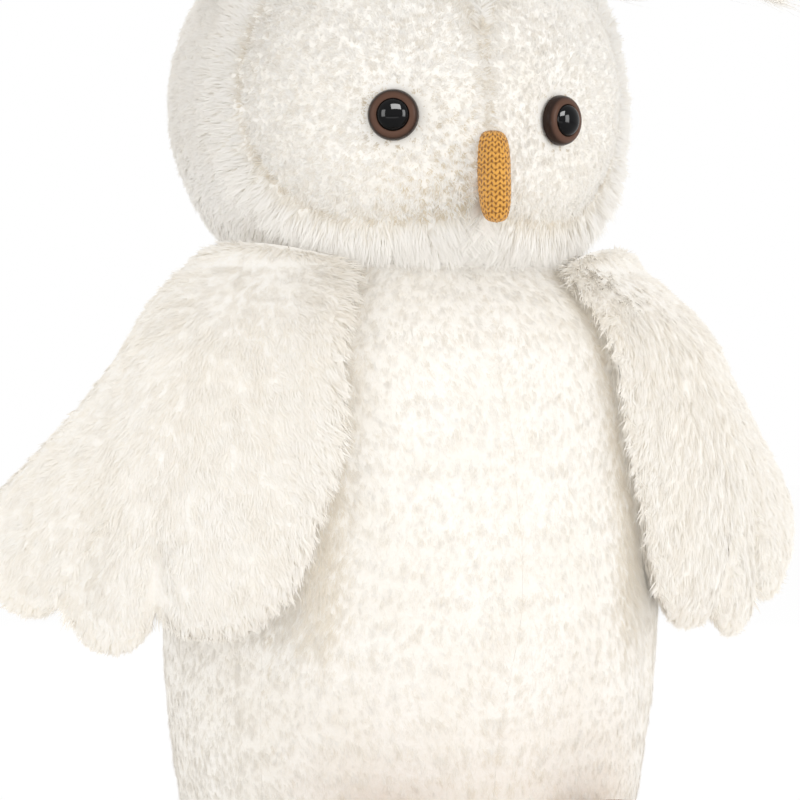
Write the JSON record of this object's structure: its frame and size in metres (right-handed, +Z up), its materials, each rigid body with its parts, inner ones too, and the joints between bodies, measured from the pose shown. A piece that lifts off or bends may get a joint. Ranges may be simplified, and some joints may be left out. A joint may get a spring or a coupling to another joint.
{
  "type": "plush owl",
  "caption": "Standing plush owl of long cream pile, with hollowed face panels, moulded eyes, a knitted beak, lobed wings, toed feet, ear tufts and a short tail.",
  "frame": {"origin": "on the floor under the body's upright axis, in the middle of the flat base panel", "axes": "+Z up, the owl faces -Y and its left side is +X"},
  "size_m": [0.27, 0.1992, 0.3056],
  "materials": {
    "body_pile": "short combed pile",
    "head_pile": "long pile",
    "wing_pile": "long pile",
    "face_pile": "short curled pile",
    "tuft_pile": "long straight fibres",
    "mustard_knit": "fine knit",
    "mustard_cloth": "short nap",
    "eye_ring": "polished",
    "eye_pupil": "polished",
    "eye_washer": "moulded",
    "fibre_filling": "loose fibre",
    "pellet_cloth": "plain weave"
  },
  "bodies": {
    "body": {"belly_left": "body_pile", "belly_right": "body_pile", "back_left": "body_pile", "back_right": "body_pile", "base_panel": "body_pile", "body_stuffing": "fibre_filling", "pellet_bag": "pellet_cloth"},
    "head": {"face_disc_left": "face_pile", "face_disc_right": "face_pile", "head_side_left": "head_pile", "head_side_right": "head_pile", "head_stuffing": "fibre_filling", "ear_tuft_left": "tuft_pile", "ear_tuft_right": "tuft_pile", "eye_iris_left": "eye_ring", "eye_iris_right": "eye_ring", "eye_pupil_left": "eye_pupil", "eye_pupil_right": "eye_pupil", "eye_washer_left": "eye_washer", "eye_washer_right": "eye_washer", "beak_cover": "mustard_knit", "beak_stuffing": "fibre_filling"},
    "wing_left": {"wing_left_outer": "wing_pile", "wing_left_lining": "wing_pile", "wing_left_stuffing": "fibre_filling"},
    "wing_right": {"wing_right_outer": "wing_pile", "wing_right_lining": "wing_pile", "wing_right_stuffing": "fibre_filling"},
    "foot_left": {"foot_left_upper": "mustard_cloth", "foot_left_sole": "mustard_cloth", "foot_left_stuffing": "fibre_filling"},
    "foot_right": {"foot_right_upper": "mustard_cloth", "foot_right_sole": "mustard_cloth", "foot_right_stuffing": "fibre_filling"},
    "tail": {"tail_upper": "body_pile", "tail_under": "body_pile", "tail_stuffing": "fibre_filling"}
  },
  "joints": [
    {"name": "neck_turn", "type": "hinge", "parent": "body", "child": "head", "pos_m": [0, 0, 0.186], "axis": [0, 0, 1], "range_deg": [-20, 20], "stiffness_Nm_per_rad": 0.06},
    {"name": "wing_left_lift", "type": "hinge", "parent": "body", "child": "wing_left", "pos_m": [0.05205, -0.02709, 0.1835], "axis": [-0.7771, -0.6293, 0], "range_deg": [0, 60], "stiffness_Nm_per_rad": 0.01},
    {"name": "wing_right_lift", "type": "hinge", "parent": "body", "child": "wing_right", "pos_m": [-0.05205, -0.02709, 0.1835], "axis": [-0.7771, 0.6293, 0], "range_deg": [0, 60], "stiffness_Nm_per_rad": 0.01},
    {"name": "foot_left_lift", "type": "hinge", "parent": "body", "child": "foot_left", "pos_m": [0.02872, -0.06092, 0.0265], "axis": [-0.9045, -0.4264, 0], "range_deg": [0, 30], "stiffness_Nm_per_rad": 0.01},
    {"name": "foot_right_lift", "type": "hinge", "parent": "body", "child": "foot_right", "pos_m": [-0.02872, -0.06092, 0.0265], "axis": [-0.9045, 0.4264, 0], "range_deg": [0, 30], "stiffness_Nm_per_rad": 0.01},
    {"name": "tail_lift", "type": "hinge", "parent": "body", "child": "tail", "pos_m": [0, 0.07057, 0.0592], "axis": [1, 0, 0], "range_deg": [0, 40], "stiffness_Nm_per_rad": 0.006}
  ]
}
